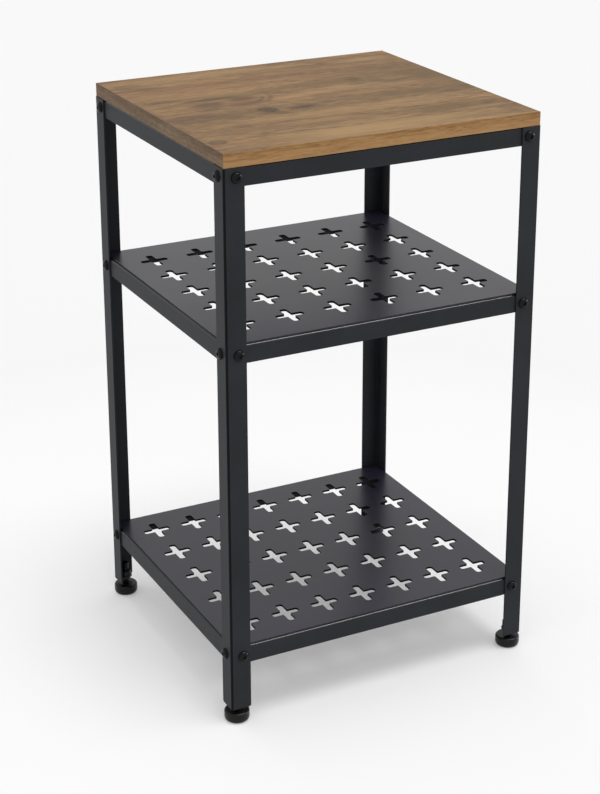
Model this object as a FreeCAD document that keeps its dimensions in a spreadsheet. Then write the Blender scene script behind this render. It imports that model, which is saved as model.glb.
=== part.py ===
"""End table with two perforated steel shelves, four angle legs and levelling feet.

Millimetres. The origin is on the floor under the middle of the table, X runs to the right,
Y runs to the back and Z points up. The board's grain and the long rails run along X.
"""

import FreeCAD, Part
import os

import Sketcher
from FreeCAD import Placement, Rotation, Vector

TINY = 1e-6

# Every driving dimension: its name in the sheet, its size in millimetres, or a count, and what it is.
SIZES = (
    ("frame_width", 400, "outside the legs, left to right"),
    ("frame_depth", 370, "outside the legs, front to back"),
    ("leg_length", 656, "angle leg, end to end"),
    ("leg_drop", 19, "floor to the bottom end of the legs, feet at mid travel"),
    ("leg_flange", 25, "outside width of each leg flange"),
    ("leg_wall", 2, "leg sheet thickness"),
    ("leg_bend", 1, "inside radius of the leg's bend"),
    ("leg_toe", 2.5, "radius on the bottom corners of the leg flanges"),
    ("rail_height", 22, "outside height of a rail's upright flange"),
    ("rail_flange", 18, "outside width of a rail's level flange"),
    ("rail_wall", 2, "rail sheet thickness"),
    ("rail_bend", 0.5, "inside radius of a rail's bend"),
    ("rail_gap", 0.5, "end clearance of a rail"),
    ("mitre_gap", 0.4, "clearance on each side of a mitred flange corner"),
    ("middle_rise", 454, "leg bottom to the top of the middle rails"),
    ("lower_rise", 80, "leg bottom to the top of the lower rails"),
    ("bolt_inset", 15.5, "leg corner to a bolt's axis"),
    ("bolt_hole", 6.5, "clearance hole for a leg bolt"),
    ("bolt_shank", 6, "leg bolt shank"),
    ("bolt_reach", 11, "leg bolt, under its head to its tip"),
    ("bolt_head", 13, "leg bolt head, across"),
    ("bolt_crown", 7.5, "flat crown of a leg bolt head, across"),
    ("head_height", 3.6, "leg bolt head"),
    ("hex_key", 4, "hexagon socket, across flats"),
    ("hex_depth", 2, "hexagon socket depth"),
    ("nut_flats", 10, "leg nut, across flats"),
    ("nut_height", 5, "leg nut"),
    ("thread_gap", 0.05, "radial clearance between a screw thread and its nut"),
    ("board_thick", 16, "top board"),
    ("board_inset", 1, "leg face to the board's edge"),
    ("band_thick", 0.8, "edge band glued round the board"),
    ("screw_spread", 220, "between the two board screws of a rail"),
    ("screw_shank", 4, "board screw shank"),
    ("screw_hole", 4.5, "clearance hole for a board screw"),
    ("screw_bite", 11, "board screw depth in the board"),
    ("pilot_depth", 12, "pilot hole for a board screw"),
    ("screw_head", 8, "board screw head, across"),
    ("screw_crown", 2.4, "board screw head height"),
    ("sheet_wall", 1.5, "shelf panel sheet thickness"),
    ("sheet_setback", 2.7, "leg's inner face to a shelf panel's edge"),
    ("sheet_corner", 3, "shelf panel corner radius"),
    ("plus_width", 35, "plus cut-out, left to right"),
    ("plus_depth", 40, "plus cut-out, front to back"),
    ("plus_arm", 9, "width of a plus arm"),
    ("plus_tip", 2.5, "corner cut at the tip of a plus arm"),
    ("middle_columns", 6, "plus cut-outs across the middle shelf"),
    ("middle_rows", 5, "plus cut-outs down the middle shelf"),
    ("middle_across", 61.5, "column pitch on the middle shelf"),
    ("middle_along", 62.5, "row pitch on the middle shelf"),
    ("lower_columns", 7, "plus cut-outs across the lower shelf"),
    ("lower_rows", 5, "plus cut-outs down the lower shelf"),
    ("lower_across", 52.5, "column pitch on the lower shelf"),
    ("lower_along", 67.5, "row pitch on the lower shelf"),
    ("foot_inset", 11.5, "leg corner to a foot's axis"),
    ("glide_across", 30, "foot glide, widest"),
    ("glide_base", 23, "foot glide where it meets the floor, across"),
    ("glide_height", 13.5, "foot glide"),
    ("glide_flare", 4, "height over which the glide widens from its base"),
    ("glide_crown", 26, "flat top of the glide, across"),
    ("glide_shoulder", 2, "height of the glide's sloping shoulder"),
    ("glide_floor", 3, "glide thickness under its stud"),
    ("stud_across", 8, "threaded stud of a foot"),
    ("stud_length", 40, "threaded stud, end to end"),
    ("tab_side", 17.5, "side of the square tab in a leg's corner"),
    ("tab_tip", 6, "corner cut at the tab's free corner"),
    ("tab_wall", 3, "tab thickness"),
    ("tab_rise", 3, "leg bottom to the underside of the tab"),
    ("tab_corner", 3, "corner cut that clears the leg's bend"),
    ("tab_hole", 9, "clearance hole for the stud"),
    ("stud_nut_flats", 13, "weld nut on a tab, across flats"),
    ("stud_nut_height", 6.5, "weld nut on a tab"),
)

# Derived places, as expressions on the sheet.
HALF_WIDTH = "sizes.frame_width / 2"
HALF_DEPTH = "sizes.frame_depth / 2"
LEG_TOP = "(sizes.leg_drop + sizes.leg_length)"
LEVELS = {
    "upper": LEG_TOP,
    "middle": "(sizes.leg_drop + sizes.middle_rise)",
    "lower": "(sizes.leg_drop + sizes.lower_rise)",
}
NUT_SEAT = "(sizes.leg_wall + sizes.rail_wall)"
SCREW_LINE = "(sizes.rail_wall + sizes.rail_flange) / 2"

# The four corners: name, sign along X, sign along Y, and the turn from the front left one.
CORNERS = (
    ("front_left", -1, -1, 0),
    ("front_right", 1, -1, 90),
    ("back_right", 1, 1, 180),
    ("back_left", -1, 1, 270),
)
# The four sides: name, sign along X, sign along Y, and the turn from the front one.
SIDES = (("front", 0, -1, 0), ("right", 1, 0, 90), ("back", 0, 1, 180), ("left", -1, 0, 270))

doc = FreeCAD.newDocument("end_table")
sizes = doc.addObject("Spreadsheet::Sheet", "sizes")


def fill_sheet():
    """Writes the driving dimensions into the sheet, one row each."""
    for row, (alias, size, meaning) in enumerate(SIZES, 1):
        sizes.set("A%d" % row, alias)
        sizes.set("B%d" % row, str(size))
        sizes.setAlias("B%d" % row, alias)
        sizes.set("C%d" % row, meaning)
    doc.recompute()


def number(expression):
    """The value of an expression on the sheet."""
    return float(sizes.evalExpression(expression))


def place(piece, x="0", y="0", z="0", rotation=None):
    """Ties a piece's position to the sheet."""
    if rotation:
        piece.Placement = Placement(Vector(), rotation)
    for axis, expression in (("x", x), ("y", y), ("z", z)):
        piece.setExpression("Placement.Base." + axis, expression)


def new_body(label):
    """An empty PartDesign body."""
    body = doc.addObject("PartDesign::Body", label)
    body.Label = label
    return body


def origin_plane(body, role):
    """One of the body's own three origin planes."""
    return next(part for part in body.Origin.OriginFeatures if part.Role == role)


def new_sketch(body, name, role):
    """An empty sketch on one of the body's origin planes."""
    sketch = body.newObject("Sketcher::SketchObject", name)
    sketch.AttachmentSupport = (origin_plane(body, role), [""])
    sketch.MapMode = "FlatFace"
    return sketch


def tie(sketch, kind, expression, *elements):
    """Adds a dimension to a sketch and ties it to the sheet."""
    index = sketch.addConstraint(Sketcher.Constraint(kind, *elements, number(expression)))
    sketch.setExpression("Constraints[%d]" % index, expression)


def outline(body, name, role, corners):
    """A closed straight-sided sketch with every corner tied to the sheet."""
    sketch = new_sketch(body, name, role)
    points = [Vector(number(across), number(up), 0) for across, up in corners]
    count = len(points)
    for index, point in enumerate(points):
        sketch.addGeometry(Part.LineSegment(point, points[(index + 1) % count]))
    for index in range(count):
        sketch.addConstraint(Sketcher.Constraint("Coincident", index, 2, (index + 1) % count, 1))
    for index, (across, up) in enumerate(corners):
        tie(sketch, "DistanceX", across, -1, 1, index, 1)
        tie(sketch, "DistanceY", up, -1, 1, index, 1)
    return sketch


def circles(body, name, role, diameter, centres):
    """A sketch of equal circles with their centres tied to the sheet."""
    sketch = new_sketch(body, name, role)
    for index, (across, up) in enumerate(centres):
        centre = Vector(number(across), number(up), 0)
        sketch.addGeometry(Part.Circle(centre, Vector(0, 0, 1), number(diameter) / 2))
        tie(sketch, "DistanceX", across, -1, 1, index, 3)
        tie(sketch, "DistanceY", up, -1, 1, index, 3)
        tie(sketch, "Diameter", diameter, index)
    return sketch


def pad(body, sketch, length, centred=False):
    """Extrudes a sketch by a length from the sheet."""
    feature = body.newObject("PartDesign::Pad", sketch.Name + "_pad")
    feature.Profile = sketch
    feature.Midplane = centred
    feature.setExpression("Length", length)
    doc.recompute()
    return feature


def cut(body, sketch, depth=None, reverse=False):
    """Cuts a sketch out of the body, right through it or to a depth, and checks that it bites."""
    before = body.Shape.Volume
    feature = body.newObject("PartDesign::Pocket", sketch.Name + "_cut")
    feature.Profile = sketch
    feature.Reversed = reverse
    if depth:
        feature.setExpression("Length", depth)
    else:
        feature.Type = "ThroughAll"
    doc.recompute()
    if feature.Shape.Volume > before - TINY:
        raise RuntimeError("%s cuts nothing" % feature.Name)
    return feature


def revolve(body, sketch):
    """Turns a sketch of radius and height about the body's Z axis."""
    feature = body.newObject("PartDesign::Revolution", sketch.Name + "_turned")
    feature.Profile = sketch
    feature.ReferenceAxis = (sketch, ["V_Axis"])
    feature.Angle = 360
    doc.recompute()
    return feature


def mirror(body, feature, role):
    """Repeats a feature on the other side of one of the body's origin planes."""
    mirrored = body.newObject("PartDesign::Mirrored", feature.Name + "_mirrored")
    mirrored.Originals = [feature]
    mirrored.MirrorPlane = (origin_plane(body, role), [""])
    body.Tip = mirrored
    doc.recompute()
    return mirrored


def edges_at(shape, **coordinates):
    """Names of the edges whose ends both have the given coordinates."""
    wanted = {axis: number(expression) for axis, expression in coordinates.items()}
    names = []
    for index, edge in enumerate(shape.Edges, 1):
        ends = [vertex.Point for vertex in edge.Vertexes]
        if all(abs(getattr(end, axis) - at) < TINY for end in ends for axis, at in wanted.items()):
            names.append("Edge%d" % index)
    return names


def fillet(body, name, radius, *edge_places):
    """Rounds the edges that lie at the given coordinates."""
    base = body.Tip
    edges = [edge for coordinates in edge_places for edge in edges_at(base.Shape, **coordinates)]
    if not edges:
        raise RuntimeError("%s finds no edge" % name)
    feature = body.newObject("PartDesign::Fillet", name)
    feature.Base = (base, edges)
    feature.setExpression("Radius", radius)
    doc.recompute()
    return feature


def group(label, master, placements):
    """A node of separate, equal solids: one link to the master for each place."""
    links = []
    for index, (x, y, z, rotation) in enumerate(placements, 1):
        link = doc.addObject("App::Link", "%s_%d" % (label, index))
        link.LinkedObject = master
        place(link, x, y, z, rotation)
        links.append(link)
    compound = doc.addObject("Part::Compound", label)
    compound.Label = label
    compound.Links = links
    return compound


def signed(sign, expression):
    """An expression, or its negative."""
    return expression if sign > 0 else "-(%s)" % expression


def about_z(degrees):
    """A turn about the vertical axis."""
    return Rotation(Vector(0, 0, 1), degrees)


# ---------------------------------------------------------------- legs


def make_leg(label, sign_x, sign_y, turn):
    """Equal steel angle, bent from sheet, with a bolt hole in both flanges at each level.

    The leg is drawn with its outside corner on the origin and its flanges along +X and +Y.
    """
    body = new_body(label)
    flange, wall = "sizes.leg_flange", "sizes.leg_wall"
    section = outline(
        body,
        label + "_section",
        "XY_Plane",
        [("0", "0"), (flange, "0"), (flange, wall), (wall, wall), (wall, flange), ("0", flange)],
    )
    pad(body, section, "sizes.leg_length")
    fillet(body, label + "_outer_bend", "sizes.leg_wall + sizes.leg_bend", {"x": "0", "y": "0"})
    fillet(body, label + "_inner_bend", "sizes.leg_bend", {"x": wall, "y": wall})
    fillet(body, label + "_toe", "sizes.leg_toe", {"x": flange, "z": "0"}, {"y": flange, "z": "0"})
    centres = [
        ("sizes.bolt_inset", "%s - sizes.leg_drop - sizes.rail_height / 2" % top)
        for top in LEVELS.values()
    ]
    for plane, reverse in (("XZ_Plane", False), ("YZ_Plane", True)):
        holes = circles(body, "%s_holes_%s" % (label, plane[:2]), plane, "sizes.bolt_hole", centres)
        cut(body, holes, reverse=reverse)
    place(
        body,
        signed(sign_x, HALF_WIDTH),
        signed(sign_y, HALF_DEPTH),
        "sizes.leg_drop",
        about_z(turn),
    )
    return body


# ---------------------------------------------------------------- rails


def make_rail(level, side, sign_x, sign_y, turn):
    """Steel angle between two legs: upright flange outside, level flange on top, mitred ends.

    It is drawn along X with its outer face on y = 0, its top on z = 0 and its inside towards +Y.
    """
    label = "%s_rail_%s" % (level, side)
    body = new_body(label)
    height, flange, wall = "-sizes.rail_height", "sizes.rail_flange", "sizes.rail_wall"
    section = outline(
        body,
        label + "_section",
        "YZ_Plane",
        [
            ("0", "0"),
            (flange, "0"),
            (flange, "-sizes.rail_wall"),
            (wall, "-sizes.rail_wall"),
            (wall, height),
            ("0", height),
        ],
    )
    long_rail = sign_x == 0
    reach = HALF_WIDTH if long_rail else HALF_DEPTH
    corner = "(%s - sizes.leg_wall)" % reach
    # A long rail stops at the inner face of the side rail, a side rail clears the leg's bend.
    stop = "sizes.rail_wall" if long_rail else "sizes.leg_bend"
    half_length = "(%s - %s - sizes.rail_gap)" % (corner, stop)
    pad(body, section, "2 * " + half_length, centred=True)
    bend = "sizes.rail_wall + sizes.rail_bend"
    fillet(body, label + "_outer_bend", bend, {"y": "0", "z": "0"})
    fillet(body, label + "_inner_bend", "sizes.rail_bend", {"y": wall, "z": "-sizes.rail_wall"})
    waste = "sizes.rail_flange + sizes.mitre_gap"
    mitre = outline(
        body,
        label + "_mitre",
        "XY_Plane",
        [
            (corner + " - sizes.mitre_gap", "0"),
            (corner + " + sizes.rail_flange", "0"),
            (corner + " + sizes.rail_flange", waste),
            (corner + " - sizes.mitre_gap - (%s)" % waste, waste),
        ],
    )
    mirror(body, cut(body, mitre, depth=bend), "YZ_Plane")
    bolt_at = "(%s - sizes.bolt_inset)" % reach
    centre_height = "-sizes.rail_height / 2"
    holes = circles(
        body,
        label + "_bolt_holes",
        "XZ_Plane",
        "sizes.bolt_hole",
        [("-" + bolt_at, centre_height), (bolt_at, centre_height)],
    )
    cut(body, holes)
    if level == "upper" and long_rail:
        screw_at = "sizes.screw_spread / 2"
        screw_holes = circles(
            body,
            label + "_screw_holes",
            "XY_Plane",
            "sizes.screw_hole",
            [("-" + screw_at, SCREW_LINE), (screw_at, SCREW_LINE)],
        )
        cut(body, screw_holes)
    out_x = signed(sign_x, "%s - sizes.leg_wall" % HALF_WIDTH) if sign_x else "0"
    out_y = signed(sign_y, "%s - sizes.leg_wall" % HALF_DEPTH) if sign_y else "0"
    place(body, out_x, out_y, LEVELS[level], about_z(turn))
    return body


# ---------------------------------------------------------------- shelf panels


def plus_corners(at_x, at_y):
    """The corners of a plus cut-out with trimmed arm tips, centred at (at_x, at_y)."""
    arm = "sizes.plus_arm / 2"
    tip = "sizes.plus_arm / 2 - sizes.plus_tip"
    half_width, half_depth = "sizes.plus_width / 2", "sizes.plus_depth / 2"
    quarter = [
        (arm, arm),
        (half_width + " - sizes.plus_tip", arm),
        (half_width, tip),
    ]
    upright = [(tip, half_depth), (arm, half_depth + " - sizes.plus_tip")]
    corners = []
    for sign_x, sign_y in ((1, 1), (1, -1), (-1, -1), (-1, 1)):
        run = upright + quarter
        if sign_x * sign_y < 0:
            run = run[::-1]
        for across, along in run:
            corners.append((at_x + " + " + signed(sign_x, across), at_y + " + " + signed(sign_y, along)))
    return corners


def make_panel(level):
    """Sheet steel shelf panel with a grid of plus cut-outs, laid on the level rail flanges."""
    label = level + "_shelf_panel"
    body = new_body(label)
    setback = " - sizes.leg_wall - sizes.sheet_setback"
    half_width, half_depth = "(%s%s)" % (HALF_WIDTH, setback), "(%s%s)" % (HALF_DEPTH, setback)
    edge = outline(
        body,
        label + "_edge",
        "XY_Plane",
        [
            ("-" + half_width, "-" + half_depth),
            (half_width, "-" + half_depth),
            (half_width, half_depth),
            ("-" + half_width, half_depth),
        ],
    )
    pad(body, edge, "sizes.sheet_wall")
    corners = [
        {"x": signed(sign_x, half_width), "y": signed(sign_y, half_depth)}
        for _, sign_x, sign_y, _ in CORNERS
    ]
    fillet(body, label + "_corners", "sizes.sheet_corner", *corners)
    across, columns = "sizes.%s_across" % level, "sizes.%s_columns" % level
    along, rows = "sizes.%s_along" % level, "sizes.%s_rows" % level
    width, depth = "%s * (%s - 1)" % (across, columns), "%s * (%s - 1)" % (along, rows)
    first = plus_corners("-%s / 2" % width, "-%s / 2" % depth)
    plus = cut(body, outline(body, label + "_plus", "XY_Plane", first), reverse=True)
    grid = body.newObject("PartDesign::MultiTransform", label + "_grid")
    steps = []
    for name, axis, length, count in (
        ("_columns", "H_Axis", width, columns),
        ("_rows", "V_Axis", depth, rows),
    ):
        step = body.newObject("PartDesign::LinearPattern", label + name)
        step.Direction = (plus.Profile[0], [axis])
        step.setExpression("Length", length)
        step.setExpression("Occurrences", count)
        steps.append(step)
    grid.Originals = [plus]
    grid.Transformations = steps
    body.Tip = grid
    place(body, z=LEVELS[level])
    return body


# ---------------------------------------------------------------- leg bolts and nuts


def make_bolt():
    """Button-head bolt with a hexagon socket: head below z = 0, shank along +Z."""
    body = new_body("bolt_master")
    shank, head = "sizes.bolt_shank / 2", "sizes.bolt_head / 2"
    crown, top = "sizes.bolt_crown / 2", "-sizes.head_height"
    half = outline(
        body,
        "bolt_half",
        "XZ_Plane",
        [
            ("0", top),
            (crown, top),
            (head, "0"),
            (shank, "0"),
            (shank, "sizes.bolt_reach"),
            ("0", "sizes.bolt_reach"),
        ],
    )
    revolve(body, half)
    socket = hexagon(body, "bolt_socket", "sizes.hex_key")
    socket.setExpression("AttachmentOffset.Base.z", top)
    cut(body, socket, depth="sizes.hex_depth", reverse=True)
    return body


def hexagon(body, name, flats):
    """A hexagon sketch with the given size across its flats."""
    radius = "%s / 2 / cos(30 deg)" % flats
    corners = [
        ("%s * cos(%d deg)" % (radius, angle), "%s * sin(%d deg)" % (radius, angle))
        for angle in range(0, 360, 60)
    ]
    return outline(body, name, "XY_Plane", corners)


def make_nut(label, flats, height, bore):
    """Hexagon nut that stands on z = 0, with a plain bore."""
    body = new_body(label)
    pad(body, hexagon(body, label + "_hexagon", flats), height)
    cut(body, circles(body, label + "_bore", "XY_Plane", bore, [("0", "0")]), reverse=True)
    return body


def bolt_places(level, lift):
    """Where a level's eight bolts go, lift being how far inwards of the leg's outer face."""
    height = "%s - sizes.rail_height / 2" % LEVELS[level]
    up = Vector(0, 0, 1)
    places = []
    for _, sign_x, sign_y, _ in CORNERS:
        near_x = signed(sign_x, "%s - sizes.bolt_inset" % HALF_WIDTH)
        face_y = signed(sign_y, "%s - %s" % (HALF_DEPTH, lift))
        places.append((near_x, face_y, height, Rotation(up, Vector(0, -sign_y, 0))))
        face_x = signed(sign_x, "%s - %s" % (HALF_WIDTH, lift))
        near_y = signed(sign_y, "%s - sizes.bolt_inset" % HALF_DEPTH)
        places.append((face_x, near_y, height, Rotation(up, Vector(-sign_x, 0, 0))))
    return places


# ---------------------------------------------------------------- top board


def make_board():
    """Particleboard core with pilot holes for the screws that hold it from below."""
    body = new_body("top_board")
    edge = "sizes.board_inset - sizes.band_thick"
    half_width, half_depth = "(%s - %s)" % (HALF_WIDTH, edge), "(%s - %s)" % (HALF_DEPTH, edge)
    face = outline(
        body,
        "board_face",
        "XY_Plane",
        [
            ("-" + half_width, "-" + half_depth),
            (half_width, "-" + half_depth),
            (half_width, half_depth),
            ("-" + half_width, half_depth),
        ],
    )
    pad(body, face, "sizes.board_thick")
    pilot = "sizes.screw_shank + 2 * sizes.thread_gap"
    holes = circles(body, "pilot_holes", "XY_Plane", pilot, screw_centres())
    cut(body, holes, depth="sizes.pilot_depth", reverse=True)
    place(body, z=LEG_TOP)
    return body


def screw_centres():
    """Where the board screws stand in plan."""
    out = "(%s - sizes.leg_wall - %s)" % (HALF_DEPTH, SCREW_LINE)
    return [
        (signed(sign_x, "sizes.screw_spread / 2"), signed(sign_y, out))
        for _, sign_x, sign_y, _ in CORNERS
    ]


def make_band(side, sign_x, sign_y):
    """Edge band: the front and back ones cover the ends of the side ones."""
    body = doc.addObject("Part::Box", "edge_band_" + side)
    body.Label = "edge_band_" + side
    full_width = "sizes.frame_width - 2 * sizes.board_inset"
    full_depth = "sizes.frame_depth - 2 * sizes.board_inset"
    across = full_width if sign_y else "sizes.band_thick"
    along = "sizes.band_thick" if sign_y else full_depth + " - 2 * sizes.band_thick"
    body.setExpression("Length", across)
    body.setExpression("Width", along)
    body.setExpression("Height", "sizes.board_thick")
    low_x = {0: "-(%s) / 2" % full_width, -1: "-(%s) / 2" % full_width}
    low_x[1] = "(%s) / 2 - sizes.band_thick" % full_width
    low_y = {0: "-(%s) / 2 + sizes.band_thick" % full_depth, -1: "-(%s) / 2" % full_depth}
    low_y[1] = "(%s) / 2 - sizes.band_thick" % full_depth
    place(body, low_x[sign_x], low_y[sign_y], LEG_TOP)
    return body


def make_screw():
    """Pan-head wood screw: head below z = 0, shank along +Z."""
    body = new_body("screw_master")
    shank, head = "sizes.screw_shank / 2", "sizes.screw_head / 2"
    half = outline(
        body,
        "screw_half",
        "XZ_Plane",
        [
            ("0", "-sizes.screw_crown"),
            ("sizes.screw_head / 4", "-sizes.screw_crown"),
            (head, "0"),
            (shank, "0"),
            (shank, "sizes.rail_wall + sizes.screw_bite"),
            ("0", "sizes.rail_wall + sizes.screw_bite"),
        ],
    )
    revolve(body, half)
    return body


# ---------------------------------------------------------------- levelling feet


def make_tab(label, sign_x, sign_y, turn):
    """Square tab welded into the corner of a leg, with a hole for the foot's stud."""
    body = new_body(label)
    near, far = "sizes.leg_wall", "(sizes.leg_wall + sizes.tab_side)"
    cut_near, cut_far = near + " + sizes.tab_corner", far + " - sizes.tab_tip"
    face = outline(
        body,
        label + "_face",
        "XY_Plane",
        [
            (cut_near, near),
            (far, near),
            (far, cut_far),
            (cut_far, far),
            (near, far),
            (near, cut_near),
        ],
    )
    pad(body, face, "sizes.tab_wall")
    centre = [("sizes.foot_inset", "sizes.foot_inset")]
    cut(body, circles(body, label + "_hole", "XY_Plane", "sizes.tab_hole", centre), reverse=True)
    place(
        body,
        signed(sign_x, HALF_WIDTH),
        signed(sign_y, HALF_DEPTH),
        "sizes.leg_drop + sizes.tab_rise",
        about_z(turn),
    )
    return body


def make_glide(label, x, y):
    """Moulded glide with a flared base, a sloping shoulder and a blind hole for its stud."""
    body = new_body(label)
    base, rim, crown = "sizes.glide_base / 2", "sizes.glide_across / 2", "sizes.glide_crown / 2"
    bore = "sizes.stud_across / 2 + sizes.thread_gap"
    half = outline(
        body,
        label + "_half",
        "XZ_Plane",
        [
            ("0", "0"),
            (base, "0"),
            (rim, "sizes.glide_flare"),
            (rim, "sizes.glide_height - sizes.glide_shoulder"),
            (crown, "sizes.glide_height"),
            (bore, "sizes.glide_height"),
            (bore, "sizes.glide_floor"),
            ("0", "sizes.glide_floor"),
        ],
    )
    revolve(body, half)
    place(body, x, y)
    return body


def make_stud(label, x, y):
    """Threaded stud of a foot, drawn at its major diameter."""
    stud = doc.addObject("Part::Cylinder", label)
    stud.Label = label
    stud.setExpression("Radius", "sizes.stud_across / 2")
    stud.setExpression("Height", "sizes.stud_length")
    place(stud, x, y, "sizes.glide_floor")
    return stud


def make_feet():
    """Tab, glide and stud at each leg, and the four weld nuts that the studs turn in."""
    nodes = []
    nut_places = []
    for name, sign_x, sign_y, turn in CORNERS:
        x = signed(sign_x, "%s - sizes.foot_inset" % HALF_WIDTH)
        y = signed(sign_y, "%s - sizes.foot_inset" % HALF_DEPTH)
        nodes.append(make_tab("foot_tab_" + name, sign_x, sign_y, turn))
        nodes.append(make_glide("foot_glide_" + name, x, y))
        nodes.append(make_stud("foot_stud_" + name, x, y))
        nut_places.append((x, y, "sizes.leg_drop + sizes.tab_rise + sizes.tab_wall", about_z(0)))
    bore = "sizes.stud_across + 2 * sizes.thread_gap"
    master = make_nut("stud_nut_master", "sizes.stud_nut_flats", "sizes.stud_nut_height", bore)
    nodes.append(group("foot_weld_nuts", master, nut_places))
    return nodes


# ---------------------------------------------------------------- the whole table


def make_table():
    """Builds every node of the table."""
    nodes = [make_leg("leg_" + name, *corner) for name, *corner in CORNERS]
    bolt = make_bolt()
    nut = make_nut(
        "nut_master",
        "sizes.nut_flats",
        "sizes.nut_height",
        "sizes.bolt_shank + 2 * sizes.thread_gap",
    )
    for level in LEVELS:
        nodes += [make_rail(level, *side) for side in SIDES]
        nodes.append(group(level + "_leg_bolts", bolt, bolt_places(level, "0")))
        nodes.append(group(level + "_leg_nuts", nut, bolt_places(level, NUT_SEAT)))
    nodes += [make_panel(level) for level in ("middle", "lower")]
    nodes.append(make_board())
    nodes += [make_band(side, sign_x, sign_y) for side, sign_x, sign_y, _ in SIDES]
    seat = LEG_TOP + " - sizes.rail_wall"
    screw_places = [(x, y, seat, about_z(0)) for x, y in screw_centres()]
    nodes.append(group("board_screws", make_screw(), screw_places))
    nodes += make_feet()
    return nodes


def check(nodes):
    """Stops on a failed object or an invalid node."""
    for item in doc.Objects:
        failed = {"Invalid", "Error"} & set(item.State)
        if failed:
            raise RuntimeError("%s is %s" % (item.Name, ", ".join(failed)))
    for node in nodes:
        if node.Shape.isNull() or not node.Shape.isValid():
            raise RuntimeError("%s has no valid shape" % node.Label)


fill_sheet()
table = make_table()
doc.recompute()
check(table)
os.makedirs("parts", exist_ok=True)
for node in table:
    node.Shape.exportStep("parts/%s.step" % node.Label)
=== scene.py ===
"""Looks for the tall end table: board, angle frame, perforated shelves, fasteners and feet."""

import math

import bmesh
import bpy
from bpy.props import FloatProperty, FloatVectorProperty, PointerProperty
from mathutils import Matrix, Vector


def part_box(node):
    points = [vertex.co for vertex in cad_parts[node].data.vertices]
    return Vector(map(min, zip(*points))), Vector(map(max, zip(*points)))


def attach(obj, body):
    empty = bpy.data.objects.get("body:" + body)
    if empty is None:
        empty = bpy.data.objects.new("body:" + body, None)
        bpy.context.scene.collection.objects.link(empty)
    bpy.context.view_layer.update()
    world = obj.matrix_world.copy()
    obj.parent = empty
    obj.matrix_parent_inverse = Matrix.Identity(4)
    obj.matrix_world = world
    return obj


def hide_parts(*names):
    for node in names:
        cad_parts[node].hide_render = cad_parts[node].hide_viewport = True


bl_info = {
    "name": "End table with perforated shelves",
    "version": (1, 0, 0),
    "blender": (4, 5, 0),
    "location": "View3D > Sidebar > End table",
    "description": "Dresses the packed end table and sets it on a studio floor",
    "category": "Object",
}

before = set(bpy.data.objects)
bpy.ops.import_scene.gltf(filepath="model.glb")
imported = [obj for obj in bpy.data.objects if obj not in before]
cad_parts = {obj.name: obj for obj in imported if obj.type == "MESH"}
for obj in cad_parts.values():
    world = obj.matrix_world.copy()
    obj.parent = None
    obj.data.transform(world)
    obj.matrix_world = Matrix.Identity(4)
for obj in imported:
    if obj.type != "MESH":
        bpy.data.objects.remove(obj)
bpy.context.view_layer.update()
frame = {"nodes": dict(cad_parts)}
MM = 0.001

LEVELS = ("upper", "middle", "lower")
# Corner name, sign along X, sign along Y, and the turn in degrees from the front left one.
CORNERS = (
    ("front_left", -1, -1, 0),
    ("front_right", 1, -1, 90),
    ("back_right", 1, 1, 180),
    ("back_left", -1, 1, 270),
)
# Side name, sign along X, sign along Y, and the turn in degrees from the front one.
SIDES = (("front", 0, -1, 0), ("right", 1, 0, 90), ("back", 0, 1, 180), ("left", -1, 0, 270))
# Cut-outs of each shelf panel: columns, rows, and their pitch across and along in millimetres.
GRIDS = (("middle", 6, 5, 61.5, 62.5), ("lower", 7, 5, 52.5, 67.5))
# Profile under a glide, from its bore to where its side flares: radius and height in millimetres.
GLIDE_FOOT = ((4.1, 3.2), (8.6, 3.2), (9.4, 0.4), (10, 0), (11, 0), (11.6, 0.3))
# How far a face's normal has to lean to count as part of a bend.
BEND_TILT = 0.15
# Directions from the table towards the lamps.
KEY_AT = (0.11, -0.22, 0.97)
EDGE_GLINT_AT = (0.43, -0.32, 0.84)
SIDE_GLINT_AT = (0.97, -0.23, 0.04)
# The camera's place in metres, and its heading, tilt and roll in degrees.
CAMERA_PLACE = (-0.98663, -1.90765, 1.21202)
CAMERA_TURNS = (26.979, -19.75, 0.138)


def linear(code):
    """An sRGB hex code as a linear colour."""
    channels = [int(code[i : i + 2], 16) / 255 for i in (1, 3, 5)]
    return [c / 12.92 if c <= 0.04045 else ((c + 0.055) / 1.055) ** 2.4 for c in channels]


# ---------------------------------------------------------------- sizes and colours


def number(name, description, default, **more):
    """A property that holds one number."""
    return FloatProperty(name=name, description=description, default=default, **more)


def length(name, description, default_mm):
    """A length property with its default in millimetres."""
    more = {"min": 0, "unit": "LENGTH", "subtype": "DISTANCE", "precision": 5}
    return number(name, description, default_mm * MM, **more)


def angle(name, description, degrees):
    """An angle property with its default in degrees."""
    return number(name, description, math.radians(degrees), subtype="ANGLE")


def colour(name, description, code):
    """A colour property with its default as an sRGB hex code."""
    return FloatVectorProperty(
        name=name, description=description, default=linear(code), min=0, max=1, subtype="COLOR"
    )


class FrameSizes(bpy.types.PropertyGroup):
    """Edges of the bands, and sheet and bend sizes of the legs and rails."""

    band_edge: length("Band edge", "Radius that the trimmer leaves on an edge band", 0.5)
    leg_bend: length("Leg bend", "Outside radius of the leg's bend", 3)
    leg_toe: length("Leg toe", "Corner radius at the foot of a leg flange", 2.5)
    rail_bend: length("Rail bend", "Outside radius of a rail's bend", 3)
    wall: length("Sheet", "Sheet thickness of legs and rails", 2)
    mitre_gap: length("Mitre gap", "Clearance at a mitred rail corner", 0.4)
    edge: length("Coated edge", "Radius that the coating leaves on a cut edge", 0.35)


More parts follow.
